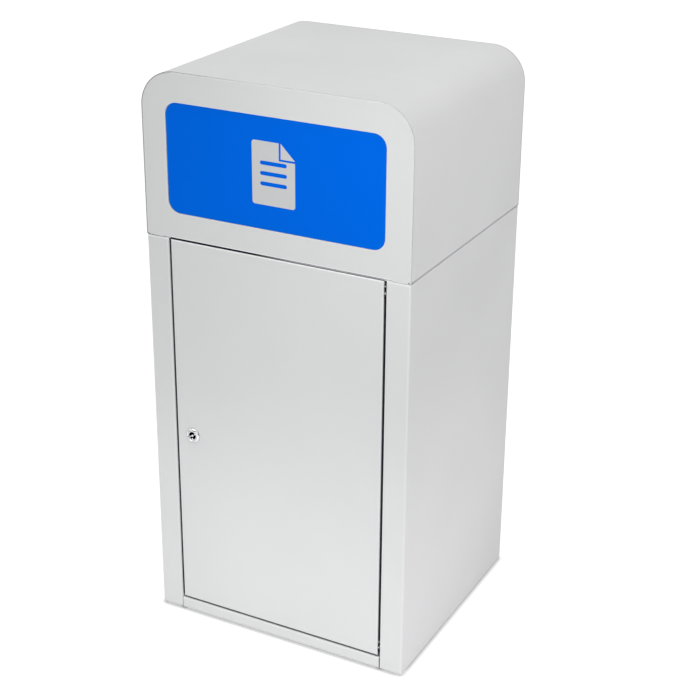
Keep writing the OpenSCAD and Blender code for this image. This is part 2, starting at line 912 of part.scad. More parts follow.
module door_bushes() {
    color(nylon)
        for (z = hinge_zs)
            translate([hinge_x, hinge_y, z + lug_rise])
                difference() {
                    union() {
                        cylinder(d = bush_d, h = lug_t);
                        translate([0, 0, lug_t])
                            cylinder(d = bush_d + 2 * bush_flange_w, h = bush_flange_t);
                    }
                    translate([0, 0, -over])
                        cylinder(d = pin_d + 2 * pin_clear, h = lug_t + bush_flange_t + 2 * over);
                }
}

// Lock

module lock_body() {
    bore_r = core_d / 2 + core_clear;
    bezel_r = bezel_d / 2;
    // The dome is a sphere through the ring's rim and its inner edge
    dome_drop = (pow(bezel_r, 2) + pow(bezel_rim, 2) - pow(lock_mouth_r, 2) - pow(bezel_h, 2))
        / (2 * (bezel_h - bezel_rim));
    dome_r = norm([bezel_r, bezel_rim + dome_drop]);
    barrel_l = cam_y - rest_gap - front_y;
    color(steel)
        translate([lock_x, front_y, lock_z])
            turned_forward() {
                intersection() {
                    translate([lock_mouth_r, 0])
                        square([bezel_r - lock_mouth_r, bezel_h]);
                    translate([0, -dome_drop])
                        circle(r = dome_r, $fn = 128);
                }
                polygon([
                    [bore_r, 0], [lock_mouth_r, 0], [lock_mouth_r, bezel_h],
                    [bore_r, bezel_h - lock_mouth_depth]
                ]);
                translate([bore_r, -barrel_l])
                    square([barrel_d / 2 - bore_r, barrel_l]);
            }
}

module lock_nut() {
    color(steel)
        translate([lock_x, front_y + door_t + lock_nut_h, lock_z])
            rotate([90, 0, 0])
                difference() {
                    hex(lock_nut_af, lock_nut_h);
                    translate([0, 0, -over])
                        cylinder(d = barrel_d + 2 * rod_fit, h = lock_nut_h + 2 * over);
                }
}

// Core of a double-bit lock: a round key hole with a pin, a web beside it and a stop at its foot
module lock_core() {
    face = bezel_h - core_setback;
    core_l = cam_y - front_y;
    color(steel)
        translate([lock_x, front_y, lock_z])
            rotate([90, 0, 0])
                difference() {
                    union() {
                        translate([0, 0, -core_l])
                            cylinder(d = core_d, h = core_l + face);
                        translate([-tang / 2, -tang / 2, -core_l - cam_t])
                            cube([tang, tang, cam_t + over]);
                    }
                    translate([0, 0, face - keyway_depth])
                        difference() {
                            cylinder(d = keyway_d, h = keyway_depth + over);
                            translate([0, 0, -over])
                                cylinder(d = key_pin_d, h = keyway_depth + over);
                            for (turn = [-150, 30])
                                rotate([0, 0, turn])
                                    translate([0, -core_web_w / 2, -over])
                                        cube([keyway_d, core_web_w, keyway_depth + over - core_web_setback]);
                            translate([-core_web_w / 2, -keyway_d, -over])
                                cube([core_web_w, keyway_d - key_pin_d / 2 - core_stop_gap, keyway_depth + over]);
                        }
                    translate([0, 0, -core_l - cam_t - over])
                        cylinder(d = cam_screw_d + 2 * rod_fit, h = cam_screw_depth + over);
                }
}

module lock_cam() {
    hole = tang + 2 * rod_fit;
    color(steel)
        translate([lock_x, cam_y, lock_z])
            from_front(0, cam_t)
                difference() {
                    union() {
                        circle(d = cam_w);
                        translate([-cam_w / 2, -cam_reach + cam_w / 2])
                            square([cam_w, cam_reach - cam_w / 2]);
                        translate([0, -cam_reach + cam_w / 2])
                            circle(d = cam_w);
                    }
                    square([hole, hole], center = true);
                }
}

module cam_screw() {
    color(steel)
        translate([lock_x, cam_y + cam_t, lock_z])
            rotate([-90, 0, 0]) {
                hex(cam_screw_af, cam_screw_head);
                translate([0, 0, cam_screw_end - cam_screw_depth])
                    cylinder(d = cam_screw_d, h = cam_screw_depth - cam_screw_end);
            }
}

// Flap: its top edge rolls round the rod, its other edges fold back, and a bar at its foot closes it

module flap_panel() {
    fold_h = flap_fold_top_z - flap_z;
    width = 2 * flap_x;
    color([0, 0.4, 0.88])
        difference() {
            union() {
                difference() {
                    translate([0, flap_y, flap_z])
                        folded_block(width, fold_h + flap_bend_r, flap_fold, flap_bend_r);
                    translate([0, flap_y + flap_t, flap_z + flap_t])
                        folded_block(width - 2 * flap_t, fold_h + body_d, flap_fold, flap_bend_r - flap_t);
                    translate([-side_x, flap_y - over, flap_fold_top_z])
                        cube([body_w, flap_fold + 2 * over, fold_h]);
                }
                translate([-flap_x, flap_y, flap_fold_top_z])
                    cube([width, flap_t, rod_z - flap_fold_top_z]);
                translate([0, rod_y, rod_z])
                    across(width)
                        difference() {
                            circle(r = roll_r);
                            circle(d = roll_d);
                            translate([-2 * roll_r, -2 * roll_r])
                                square(2 * roll_r);
                        }
            }
            translate([0, weight_y, weight_z])
                across(width + 2)
                    circle(d = weight_end_d + 2 * rod_fit);
        }
}

module flap_weight() {
    color(steel)
        translate([0, weight_y, weight_z]) {
            across(2 * (flap_x - flap_t))
                circle(d = weight_d);
            across(2 * flap_x)
                circle(d = weight_end_d);
        }
}

module flap_bushes() {
    color(nylon)
        for (side = [0, 1])
            mirror([side, 0, 0])
                translate([flap_x, rod_y, rod_z])
                    rotate([0, 90, 0])
                        difference() {
                            union() {
                                translate([0, 0, -flap_bush_l])
                                    cylinder(d = roll_d - 2 * rod_fit, h = flap_bush_l);
                                cylinder(d = roll_d + 2 * flap_t, h = flap_bush_flange);
                            }
                            translate([0, 0, -flap_bush_l - over])
                                cylinder(
                                    d = rod_d + 2 * rod_clear,
                                    h = flap_bush_l + flap_bush_flange + 2 * over
                                );
                        }
}

module flap_brackets() {
    leg_y = front_y + panel_t;
    plate_d = rod_y + flap_bracket_behind - leg_y;
    low_z = rod_z - flap_bracket_below;
    plate_h = flap_bracket_below + flap_bracket_above;
    color(steel)
        for (side = [0, 1])
            mirror([side, 0, 0])
                difference() {
                    union() {
                        translate([flap_bracket_x, leg_y, low_z])
                            cube([flap_bracket_t, plate_d, plate_h]);
                        translate([flap_bracket_x, leg_y, low_z])
                            cube([flap_bracket_leg, flap_bracket_t, plate_h]);
                    }
                    translate([flap_bracket_x - over, rod_y, rod_z])
                        rotate([0, 90, 0])
                            cylinder(d = rod_d + 2 * rod_fit, h = flap_bracket_t + 2 * over);
                }
}

module flap_rod() {
    color(steel)
        translate([0, rod_y, rod_z])
            across(2 * (flap_bracket_x + flap_bracket_t + clip_t + rod_end))
                circle(d = rod_d);
}

module rod_clips() {
    color(steel)
        for (side = [0, 1])
            mirror([side, 0, 0])
                translate([flap_bracket_x + flap_bracket_t, rod_y, rod_z])
                    rotate([0, 90, 0])
                        difference() {
                            cylinder(d = rod_d + 2 * clip_w, h = clip_t);
                            translate([0, 0, -over])
                                cylinder(d = rod_d + 2 * rod_fit, h = clip_t + 2 * over);
                        }
}

module flap_bumpers() {
    color(rubber)
        for (x = [-1, 1])
            translate([x * bumper_x - bumper_w / 2, front_y + panel_t, flap_z + bumper_edge])
                cube([bumper_w, bumper_t, flap_lap - 2 * bumper_edge]);
}

// Liner

// Round tube bent round a rectangle with round corners
module wired_rim(w, d, r, tube_r) {
    for (side = [-1, 1]) {
        translate([side * w / 2, 0, 0])
            rotate([90, 0, 0])
                cylinder(r = tube_r, h = d - 2 * r, center = true);
        translate([0, side * d / 2, 0])
            rotate([0, 90, 0])
                cylinder(r = tube_r, h = w - 2 * r, center = true);
    }
    for (x = [0, 1], y = [0, 1])
        mirror([x, 0, 0])
            mirror([0, y, 0])
                translate([w / 2 - r, d / 2 - r, 0])
                    rotate_extrude(angle = 90)
                        translate([r, 0])
                            circle(r = tube_r);
}

module inner_liner() {
    color(galvanised)
        translate([0, liner_y, liner_z]) {
            difference() {
                linear_extrude(liner_h - rim_r)
                    round_rect(liner_w, liner_d, liner_r);
                translate([0, 0, liner_t])
                    linear_extrude(liner_h)
                        round_rect(liner_w - 2 * liner_t, liner_d - 2 * liner_t, liner_r - liner_t);
            }
            translate([0, 0, liner_h - rim_r])
                wired_rim(liner_w, liner_d, liner_r, rim_r);
        }
}

module handle_lugs() {
    base_h = 2 * (handle_lug_r + handle_lug_base_end);
    wall_x = liner_w / 2;
    color(galvanised)
        for (side = [0, 1], end = [-1, 1])
            mirror([side, 0, 0])
                translate([0, liner_y + end * (handle_lug_y + handle_lug_w / 2), handle_z])
                    rotate([90, 0, 0])
                        translate([0, 0, -handle_lug_w / 2])
                            linear_extrude(handle_lug_w)
                                difference() {
                                    union() {
                                        translate([handle_x, 0])
                                            circle(r = handle_lug_r);
                                        translate([wall_x, -handle_lug_r])
                                            square([handle_off, 2 * handle_lug_r]);
                                        translate([wall_x, -base_h / 2])
                                            square([handle_lug_base_t, base_h]);
                                    }
                                    translate([handle_x, 0])
                                        circle(r = wire_r + wire_clear);
                                }
}

// Wire handle hanging from its pivots: grip, two bends, two legs and the ends that turn in the lugs
module liner_handle(side) {
    half = handle_w / 2;
    leg = handle_drop - handle_bend;
    pivot_l = handle_lug_y + handle_lug_w + handle_wire_end - half;
    color(steel)
        translate([side * handle_x, liner_y, handle_z]) {
            translate([0, 0, -handle_drop])
                rotate([90, 0, 0])
                    cylinder(r = wire_r, h = handle_w - 2 * handle_bend, center = true);
            for (end = [0, 1])
                mirror([0, end, 0]) {
                    translate([0, half - handle_bend, -leg])
                        rotate([0, 90, 0])
                            rotate_extrude(angle = 90)
                                translate([handle_bend, 0])
                                    circle(r = wire_r);
                    translate([0, half, -leg])
                        cylinder(r = wire_r, h = leg);
                    translate([0, half, 0])
                        sphere(r = wire_r);
                    translate([0, half, 0])
                        rotate([-90, 0, 0])
                            cylinder(r = wire_r, h = pivot_l);
                }
        }
}

module liner_handle_left() {
    liner_handle(-1);
}

module liner_handle_right() {
    liner_handle(1);
}

body_shell();
base_pan();
foot_pads();
foot_studs();
foot_nuts();
top_frame();
hood_gasket();
hood_wrap();
hood_front();
hood_back();
hood_screws();
hood_nuts();
hinge_bracket_low();
hinge_bracket_high();
hinge_pins();
hinge_washers();
door_stops();
door_buffers();
door_panel();
door_stiffener();
door_hinge_lugs();
door_bushes();
lock_body();
lock_nut();
lock_core();
lock_cam();
cam_screw();
flap_panel();
flap_weight();
flap_bushes();
flap_brackets();
flap_rod();
rod_clips();
flap_bumpers();
inner_liner();
handle_lugs();
liner_handle_left();
liner_handle_right();
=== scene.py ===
import json
import math

import bmesh
import bpy
from mathutils import Matrix, Vector
from mathutils.geometry import tessellate_polygon


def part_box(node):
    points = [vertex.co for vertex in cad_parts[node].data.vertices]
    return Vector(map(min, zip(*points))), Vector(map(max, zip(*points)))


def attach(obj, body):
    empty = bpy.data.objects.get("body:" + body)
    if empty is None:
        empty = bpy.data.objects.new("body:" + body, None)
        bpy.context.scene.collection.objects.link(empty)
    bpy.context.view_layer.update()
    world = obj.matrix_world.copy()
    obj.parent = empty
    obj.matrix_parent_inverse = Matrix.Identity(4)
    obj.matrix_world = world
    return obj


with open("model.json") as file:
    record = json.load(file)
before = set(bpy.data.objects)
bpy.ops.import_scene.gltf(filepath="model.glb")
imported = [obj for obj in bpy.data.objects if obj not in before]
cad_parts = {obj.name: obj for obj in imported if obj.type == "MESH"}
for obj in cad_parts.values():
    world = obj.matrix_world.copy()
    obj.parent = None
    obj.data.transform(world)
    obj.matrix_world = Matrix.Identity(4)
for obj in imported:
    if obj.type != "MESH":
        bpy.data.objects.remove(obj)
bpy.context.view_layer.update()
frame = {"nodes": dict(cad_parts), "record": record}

nodes = frame["nodes"]
scene = bpy.context.scene
print("frame loaded:", len(nodes), "nodes")


# Node helpers

number, vector = "NodeSocketFloat", "NodeSocketVector"


def fill(tree, node, sockets):
    # a socket is linked, and anything else becomes the input's own value
    for key, value in sockets.items():
        if isinstance(value, bpy.types.NodeSocket):
            tree.links.new(value, node.inputs[key])
        else:
            node.inputs[key].default_value = value
    return node


def place(tree, kind, props=None, sockets=None):
    node = tree.nodes.new(kind)
    for key, value in (props or {}).items():
        setattr(node, key, value)
    return fill(tree, node, sockets or {})


def blank(name):
    material = bpy.data.materials.new(name)
    material.use_nodes = True
    material.node_tree.nodes.clear()
    return material, material.node_tree


def groupEnds(tree):
    return tree.nodes.new("NodeGroupInput").outputs, tree.nodes.new("NodeGroupOutput").inputs


def newGroup(name, inputs, outputs):
    tree = bpy.data.node_groups.new(name, "ShaderNodeTree")
    for label, value in inputs.items():
        tree.interface.new_socket(label, in_out="INPUT", socket_type=number).default_value = value
    for label, kind in outputs.items():
        tree.interface.new_socket(label, in_out="OUTPUT", socket_type=kind)
    return tree, *groupEnds(tree)


def useGroup(tree, group, **values):
    node = tree.nodes.new("ShaderNodeGroup")
    node.node_tree = group
    return fill(tree, node, values).outputs


def objectPoint(tree):
    return place(tree, "ShaderNodeTexCoord").outputs["Object"]


def axesOf(tree, direction):
    return place(tree, "ShaderNodeSeparateXYZ", None, {"Vector": direction}).outputs


def calc(tree, operation, first, second=0.0, clamp=False):
    props = {"operation": operation, "use_clamp": clamp}
    return place(tree, "ShaderNodeMath", props, {0: first, 1: second}).outputs[0]


def vectorCalc(tree, operation, *values):
    return place(tree, "ShaderNodeVectorMath", {"operation": operation}, dict(enumerate(values))).outputs


def ramp(tree, value, low, high, toLow=0.0, toHigh=1.0):
    return place(tree, "ShaderNodeMapRange", {"clamp": True}, {
        "Value": value, "From Min": low, "From Max": high, "To Min": toLow, "To Max": toHigh}).outputs["Result"]


def blendColour(tree, factor, first, second):
    return place(tree, "ShaderNodeMix", {"data_type": "RGBA"}, {0: factor, 6: first, 7: second}).outputs[2]


def noise(tree, point, scale, detail=2.0, rough=0.5):
    return place(tree, "ShaderNodeTexNoise", None, {
        "Vector": point, "Scale": scale, "Detail": detail, "Roughness": rough}).outputs["Fac"]


def openness(tree, reach, samples=8):
    # one in the open, and less where another surface stands within reach
    return place(tree, "ShaderNodeAmbientOcclusion", {"samples": samples}, {"Distance": reach}).outputs["AO"]


def within(tree, measures, area):
    # the product of an area's ramps: measure, from, to, and the two end values where they aren't 0 and 1
    masks = [ramp(tree, measures[name], *span) for name, *span in area]
    total = masks[0]
    for mask in masks[1:]:
        total = calc(tree, "MULTIPLY", total, mask)
    return total


def screenColour(colour):
    def linear(value):
        value /= 255
        return value / 12.92 if value <= 0.04045 else ((value + 0.055) / 1.055) ** 2.4
    return (*[linear(value) for value in colour], 1.0)


# Shared effects

noiseSpan = (0.3, 0.7)  # where most of a noise lies
skinLook = {"wave": 620.0, "grain": 2600.0, "waveShare": 0.8, "drift": 5.0, "driftNoise": (3.0, 0.45)}
edgeLook = {"radius": 0.0006, "samples": 6, "turned": (0.998, 0.86), "slant": (0.06, 0.42), "upright": 0.25}
dustLook = {"amount": 0.2, "patchNoise": (34.0, 5.0, 0.62), "patches": (0.34, 0.72), "facingUp": (0.3, 0.95)}
grainLook = {"across": 700.0, "along": 60.0, "lineNoise": (1.0, 3.0, 0.6)}
shadeLook = {"reach": 0.006, "amount": 0.9, "closed": (0.62, 0.34)}


def buildCoatSkin():
    # orange peel of baked powder: small waves, finer grain on top, and a slow drift in tone
    tree, given, result = newGroup("coatSkin", {
        "Wave": skinLook["wave"], "Grain": skinLook["grain"], "Drift": skinLook["drift"]},
        {"Height": number, "Tone": number})
    point = objectPoint(tree)
    waves = calc(tree, "MULTIPLY", noise(tree, point, given["Wave"], 1.0), skinLook["waveShare"])
    grain = calc(tree, "MULTIPLY", noise(tree, point, given["Grain"], 1.0), 1 - skinLook["waveShare"])
    tree.links.new(calc(tree, "ADD", waves, grain), result["Height"])
    tree.links.new(noise(tree, point, given["Drift"], *skinLook["driftNoise"]), result["Tone"])
    return tree


def buildEdgeRound():
    # rounds the shading of a sharp sheet edge, and marks the edge and the narrow folds round the front for a painted
    # highlight, the level folds fully and the upright ones a quarter as much; Shut, inside a closed joint, takes both
    # away, and Plain takes only the rounding away
    tree, given, result = newGroup("edgeRound", {
        "Radius": edgeLook["radius"], "Folds": 0.0, "Shut": 0.0, "Plain": 0.0}, {"Highlight": number, "Normal": vector})
    bevel = place(tree, "ShaderNodeBevel", {"samples": edgeLook["samples"]}, {"Radius": given["Radius"]})
    soft = bevel.outputs["Normal"]
    flat = place(tree, "ShaderNodeNewGeometry").outputs
    alike = vectorCalc(tree, "DOT_PRODUCT", soft, flat["True Normal"])["Value"]
    plain = calc(tree, "MAXIMUM", given["Shut"], given["Plain"])
    mixed = place(tree, "ShaderNodeMix", {"data_type": "VECTOR"}, {0: plain, 4: soft, 5: flat["Normal"]}).outputs[1]
    lean = axesOf(tree, vectorCalc(tree, "ABSOLUTE", flat["True Normal"])[0])
    level = ramp(tree, calc(tree, "MULTIPLY", lean["Y"], lean["Z"]), *edgeLook["slant"])
    upright = ramp(tree, calc(tree, "MULTIPLY", lean["Y"], lean["X"]), *edgeLook["slant"], 0.0, edgeLook["upright"])
    fold = calc(tree, "MULTIPLY", calc(tree, "MAXIMUM", level, upright), given["Folds"])
    edge = calc(tree, "MAXIMUM", ramp(tree, alike, *edgeLook["turned"]), fold)
    tree.links.new(calc(tree, "MULTIPLY", edge, calc(tree, "SUBTRACT", 1.0, given["Shut"])), result["Highlight"])
    tree.links.new(vectorCalc(tree, "NORMALIZE", mixed)[0], result["Normal"])
    return tree


def buildSettledDust():
    # dust lies on what faces up, thicker in patches
    tree, given, result = newGroup("settledDust", {"Amount": dustLook["amount"]}, {"Mask": number})
    up = axesOf(tree, place(tree, "ShaderNodeNewGeometry").outputs["Normal"])["Z"]
    patches = ramp(tree, noise(tree, objectPoint(tree), *dustLook["patchNoise"]), *dustLook["patches"])
    lying = calc(tree, "MULTIPLY", ramp(tree, up, *dustLook["facingUp"]), patches)
    tree.links.new(calc(tree, "MULTIPLY", lying, given["Amount"]), result["Mask"])
    return tree


def buildDrawnGrain():
    # long fine lines left by rolling or drawing, along Z
    tree, given, result = newGroup("drawnGrain", {
        "Across": grainLook["across"], "Along": grainLook["along"]}, {"Lines": number})
    scale = place(tree, "ShaderNodeCombineXYZ", None, {"X": given["Across"], "Y": given["Across"], "Z": given["Along"]})
    stretched = vectorCalc(tree, "MULTIPLY", objectPoint(tree), scale.outputs[0])[0]
    tree.links.new(noise(tree, stretched, *grainLook["lineNoise"]), result["Lines"])
    return tree


def buildJointGrime():
    # painted shade where two sheets stand close together
    tree, given, result = newGroup("jointShade", {
        "Reach": shadeLook["reach"], "Amount": shadeLook["amount"]}, {"Mask": number})
    closed = ramp(tree, openness(tree, given["Reach"]), *shadeLook["closed"])
    tree.links.new(calc(tree, "MULTIPLY", closed, given["Amount"]), result["Mask"])
    return tree


coatSkin = buildCoatSkin()
edgeRound = buildEdgeRound()
settledDust = buildSettledDust()
drawnGrain = buildDrawnGrain()
jointShade = buildJointGrime()
print("shared effects built")


# Materials: colours as they show on a screen, roughness from and to, bump as strength and depth in metres

def finish(tree, colour, roughness, height, bump, normal=None, metal=0.0, **fixed):
    raised = place(tree, "ShaderNodeBump", None, {"Strength": bump[0], "Distance": bump[1], "Height": height})
    if normal is not None:
        tree.links.new(normal, raised.inputs["Normal"])
    shader = place(tree, "ShaderNodeBsdfPrincipled", None, {
        "Base Color": colour, "Roughness": roughness, "Metallic": metal, "Normal": raised.outputs["Normal"]})
    for key, value in fixed.items():
        shader.inputs[key.replace("_", " ")].default_value = value
    place(tree, "ShaderNodeOutputMaterial", None, {"Surface": shader.outputs[0]})


coat = {
    "colour": (216, 217, 217), "drift": 0.03, "roughness": (0.36, 0.46), "bump": (0.10, 0.00012), "gloss": 0.2,
    # edge is the colour of the painted highlight on edges and folds, and rimShare its share on the jamb rims
    "edge": (248, 248, 248), "edgeShare": 1.0, "edgeRadius": 0.0030, "rimShare": 0.45,
    "dust": 0.10, "dustColour": (206, 205, 201), "dustRoughness": 0.3,
    # joint is the colour of the painted shade in the joints and the roof joint, inletEdge the warm tint painted against
    # the flap's blue light, and outline the colour of the painted shade line at the hood's left edge
    "joint": (6, 9, 46), "jointReach": 0.010, "inletEdge": (242, 232, 190), "outline": (84, 88, 94),
}
blue = {
    "colour": (0, 102, 225), "drift": 0.03, "roughness": (0.40, 0.50), "bump": (0.08, 0.00012), "gloss": 0.01,
    # edge is the colour of the painted highlight on the flap's edges
    "edge": (20, 116, 234), "edgeShare": 0.6, "edgeRadius": 0.0006,
    "dust": 0.0, "dustColour": (206, 205, 201), "dustRoughness": 0.3,
    "lift": (12, 124, 250), "liftReach": 0.008, "liftSpan": (0.95, 0.50),
}


def coatedSheet(name, look, findMarks=None):
    material, tree = blank(name)
    skin = useGroup(tree, coatSkin)
    marks = findMarks(tree) if findMarks else {}
    edge = useGroup(tree, edgeRound, Radius=look["edgeRadius"], Folds=marks.get("folds", 0.0),
                    Shut=marks.get("shut", 0.0), Plain=marks.get("rim", 0.0))
    body = screenColour(look["colour"])
    drift = [channel * (1 - look["drift"]) for channel in body[:3]] + [1.0]
    toned = blendColour(tree, ramp(tree, skin["Tone"], *noiseSpan), body, drift)
    # painted highlight: the masked edges and folds turn toward the edge colour
    paintedHighlight = calc(tree, "MULTIPLY", edge["Highlight"], look["edgeShare"])
    if marks:
        # on the jamb rims the painted highlight takes rimShare
        paintedHighlight = place(tree, "ShaderNodeMix", None, {0: marks["rim"], 2: paintedHighlight, 3: look["rimShare"]}).outputs[0]
    toned = blendColour(tree, paintedHighlight, toned, screenColour(look["edge"]))
    veil = useGroup(tree, settledDust, Amount=look["dust"])["Mask"]
    toned = blendColour(tree, veil, toned, screenColour(look["dustColour"]))
    if marks:
        # painted warm tint on the inlet's cut edge, against the flap's blue light
        toned = blendColour(tree, marks["inletEdge"], toned, screenColour(look["inletEdge"]))
        # painted shade line along the hood's left edge
        toned = blendColour(tree, marks["outline"], toned, screenColour(look["outline"]))
        # painted shade in the joints and along the roof joint
        dark = calc(tree, "MAXIMUM", marks["shut"], marks["seamShade"])
        toned = blendColour(tree, dark, toned, screenColour(look["joint"]))
    if "lift" in look:
        # a little lighter where the frame round the flap takes light away
        shaded = ramp(tree, openness(tree, look["liftReach"]), *look["liftSpan"])
        toned = blendColour(tree, shaded, toned, screenColour(look["lift"]))
    rough = ramp(tree, skin["Tone"], *noiseSpan, *look["roughness"])
    rough = calc(tree, "ADD", rough, calc(tree, "MULTIPLY", veil, look["dustRoughness"]), True)
    finish(tree, toned, rough, skin["Height"], look["bump"], edge["Normal"], Specular_IOR_Level=look["gloss"])
    return material


# where the marks on the cabinet and hood lie, in metres, as within() reads them: across is the distance from the
# middle, roofLine the one from the joint between the roof and the hood's front, and arc the one from the centre of
# the rounding at that front's upper left
markAreas = {
    "inlet": (("across", 0.182, 0.178), ("z", 0.605, 0.610), ("z", 0.808, 0.803)),
    "lowSide": (("across", 0.1982, 0.1988), ("z", 0.014, 0.010)),
    # rim: a painted highlight band on top of the jambs, kept free of painted shade
    "rim": (("across", 0.1635, 0.1650), ("z", 0.5892, 0.5900), ("z", 0.5928, 0.5924), ("y", -0.1780, -0.1784)),
    # strip: the painted joint shade, weaker near the floor
    "strip": (("z", 0.017, 0.026, 0.45, 1.0),),
    # folds: the painted fold highlight, weaker near the floor
    "folds": (("z", 0.05, 0.50, 0.25, 1.0),),
    # seamShade: a painted shade line in the roof joint, fading to the right
    "seamShade": (("roofLine", 0.0013, 0.0005), ("z", 0.75, 0.76), ("facingUp", 0.3, 0.6),
             ("x", -0.125, -0.03, 0.95, 0.0)),
    # outline: a painted shade line along the left edge and arc of the hood's front
    "outline": (("arc", 0.0481, 0.0486, 0.0, 0.55), ("z", 0.5932, 0.5940), ("x", -0.145, -0.165),
                ("y", -0.1780, -0.1784)),
    # inletEdge: a warm tint painted on the inlet's cut edge against the blue light the flap bounces onto it
    "inletEdge": (("across", 0.1645, 0.1640), ("z", 0.6285, 0.6290), ("z", 0.7845, 0.7840), ("y", -0.1780, -0.1784),
                  ("facingFront", 0.7, 0.4)),
}
roofJoint = -0.17825
arcCentre = {"x": -0.150, "z": 0.773}


def readPlace(tree):
    x, y, z = axesOf(tree, objectPoint(tree))
    return {"x": x, "y": y, "z": z, "across": calc(tree, "ABSOLUTE", x)}


def cabinetMarks(tree):
    # painted shade in the joints but not round the inlet or low on the sides, the painted fold highlight weaker near
    # the floor, a painted shade line in the roof joint that fades to the right, a painted highlight on the rims on top
    # of the jambs, a pale warm tint painted on the inlet's cut edge against the blue light the flap bounces onto it,
    # and a painted shade line along the left edge of the hood's front
    here = readPlace(tree)
    facing = axesOf(tree, place(tree, "ShaderNodeNewGeometry").outputs["True Normal"])
    here["facingUp"], here["facingFront"] = facing["Z"], calc(tree, "ABSOLUTE", facing["Y"])
    here["roofLine"] = calc(tree, "ABSOLUTE", calc(tree, "SUBTRACT", here["y"], roofJoint))
    outward = calc(tree, "MAXIMUM", calc(tree, "SUBTRACT", arcCentre["x"], here["x"]), 0.0)
    upward = calc(tree, "MAXIMUM", calc(tree, "SUBTRACT", here["z"], arcCentre["z"]), 0.0)
    square = calc(tree, "ADD", calc(tree, "POWER", outward, 2.0), calc(tree, "POWER", upward, 2.0))
    here["arc"] = calc(tree, "SQRT", square)
    marks = {name: within(tree, here, area) for name, area in markAreas.items()}

    unshaded = calc(tree, "MAXIMUM", calc(tree, "MAXIMUM", marks["inlet"], marks["lowSide"]), marks["rim"])
    # painted shade in the joints, left out where unshaded
    shadeMask = useGroup(tree, jointShade, Reach=coat["jointReach"])["Mask"]
    shadeMask = calc(tree, "MULTIPLY", shadeMask, calc(tree, "SUBTRACT", 1.0, unshaded))
    marks["shut"] = calc(tree, "MULTIPLY", shadeMask, marks["strip"])
    return marks


zinc = {
    "light": (198, 201, 205), "dark": (176, 180, 184), "cloud": (90.0, 4.0, 0.6), "cloudSpan": (0.35, 0.7),
    # edge is the colour of the painted highlight on the plate's edges
    "edge": (226, 228, 230), "edgeShare": 0.5, "edgeRadius": 0.0004, "roughness": (0.24, 0.42),
    "bump": (0.08, 0.00008),
}


def zincPlate():
    material, tree = blank("zincPlate")
    lines = useGroup(tree, drawnGrain)["Lines"]
    edge = useGroup(tree, edgeRound, Radius=zinc["edgeRadius"])
    cloud = ramp(tree, noise(tree, objectPoint(tree), *zinc["cloud"]), *zinc["cloudSpan"])
    colour = blendColour(tree, cloud, screenColour(zinc["light"]), screenColour(zinc["dark"]))
    # painted highlight along the edges
    paintedHighlight = calc(tree, "MULTIPLY", edge["Highlight"], zinc["edgeShare"])
    colour = blendColour(tree, paintedHighlight, colour, screenColour(zinc["edge"]))
    rough = ramp(tree, lines, *noiseSpan, *zinc["roughness"])
    finish(tree, colour, rough, lines, zinc["bump"], edge["Normal"], 1.0)
    return material


chrome = {
    "light": (236, 236, 240), "dark": (214, 215, 219), "haze": (420.0, 3.0, 0.6), "edgeRadius": 0.0003,
    # joint is the colour of the painted shade in the lock's crevices
    "joint": (8, 8, 12), "jointAmount": 1.0, "roughness": (0.07, 0.16), "bump": (0.02, 0.00005),
}


def lockChrome():
    material, tree = blank("lockChrome")
    edge = useGroup(tree, edgeRound, Radius=chrome["edgeRadius"])
    haze = noise(tree, objectPoint(tree), *chrome["haze"])
    colour = blendColour(tree, haze, screenColour(chrome["light"]), screenColour(chrome["dark"]))
    # painted shade in the lock's crevices
    shadeMask = useGroup(tree, jointShade, Amount=chrome["jointAmount"])["Mask"]
    colour = blendColour(tree, shadeMask, colour, screenColour(chrome["joint"]))
    rough = ramp(tree, haze, *noiseSpan, *chrome["roughness"])
    finish(tree, colour, rough, haze, chrome["bump"], edge["Normal"], 1.0)
    return material


galvanised = {
    "dark": (178, 183, 186), "light": (208, 211, 213), "flakeScale": 110.0, "bendScale": 60.0, "bend": 0.012,
    # edge is the colour of the painted highlight on the sheet's edges
    "edge": (224, 226, 227), "edgeShare": 0.4, "edgeRadius": 0.0005, "roughness": (0.30, 0.48),
    "dust": 0.35, "dustColour": (170, 167, 160), "dustRoughness": 0.4, "metal": (0.95, 0.4), "bump": (0.05, 0.00005),
}


def galvanisedSheet():
    # zinc flakes with bent outlines, each in its own tone
    material, tree = blank("galvanisedSheet")
    point = objectPoint(tree)
    waves = place(tree, "ShaderNodeTexNoise", None, {"Vector": point, "Scale": galvanised["bendScale"]})
    bent = vectorCalc(tree, "MULTIPLY_ADD", waves.outputs["Color"], [galvanised["bend"]] * 3, point)[0]
    flakes = place(tree, "ShaderNodeTexVoronoi", None, {"Vector": bent, "Scale": galvanised["flakeScale"]})
    tone = place(tree, "ShaderNodeSeparateColor", None, {"Color": flakes.outputs["Color"]}).outputs[0]
    edge = useGroup(tree, edgeRound, Radius=galvanised["edgeRadius"])
    veil = useGroup(tree, settledDust, Amount=galvanised["dust"])["Mask"]
    colour = blendColour(tree, tone, screenColour(galvanised["dark"]), screenColour(galvanised["light"]))
    # painted highlight along the edges
    paintedHighlight = calc(tree, "MULTIPLY", edge["Highlight"], galvanised["edgeShare"])
    colour = blendColour(tree, paintedHighlight, colour, screenColour(galvanised["edge"]))
    colour = blendColour(tree, veil, colour, screenColour(galvanised["dustColour"]))
    rough = ramp(tree, tone, 0.0, 1.0, *galvanised["roughness"])
    rough = calc(tree, "ADD", rough, calc(tree, "MULTIPLY", veil, galvanised["dustRoughness"]), True)
    metal = ramp(tree, veil, 0.0, 1.0, *galvanised["metal"])
    finish(tree, colour, rough, tone, galvanised["bump"], edge["Normal"], metal)
    return material


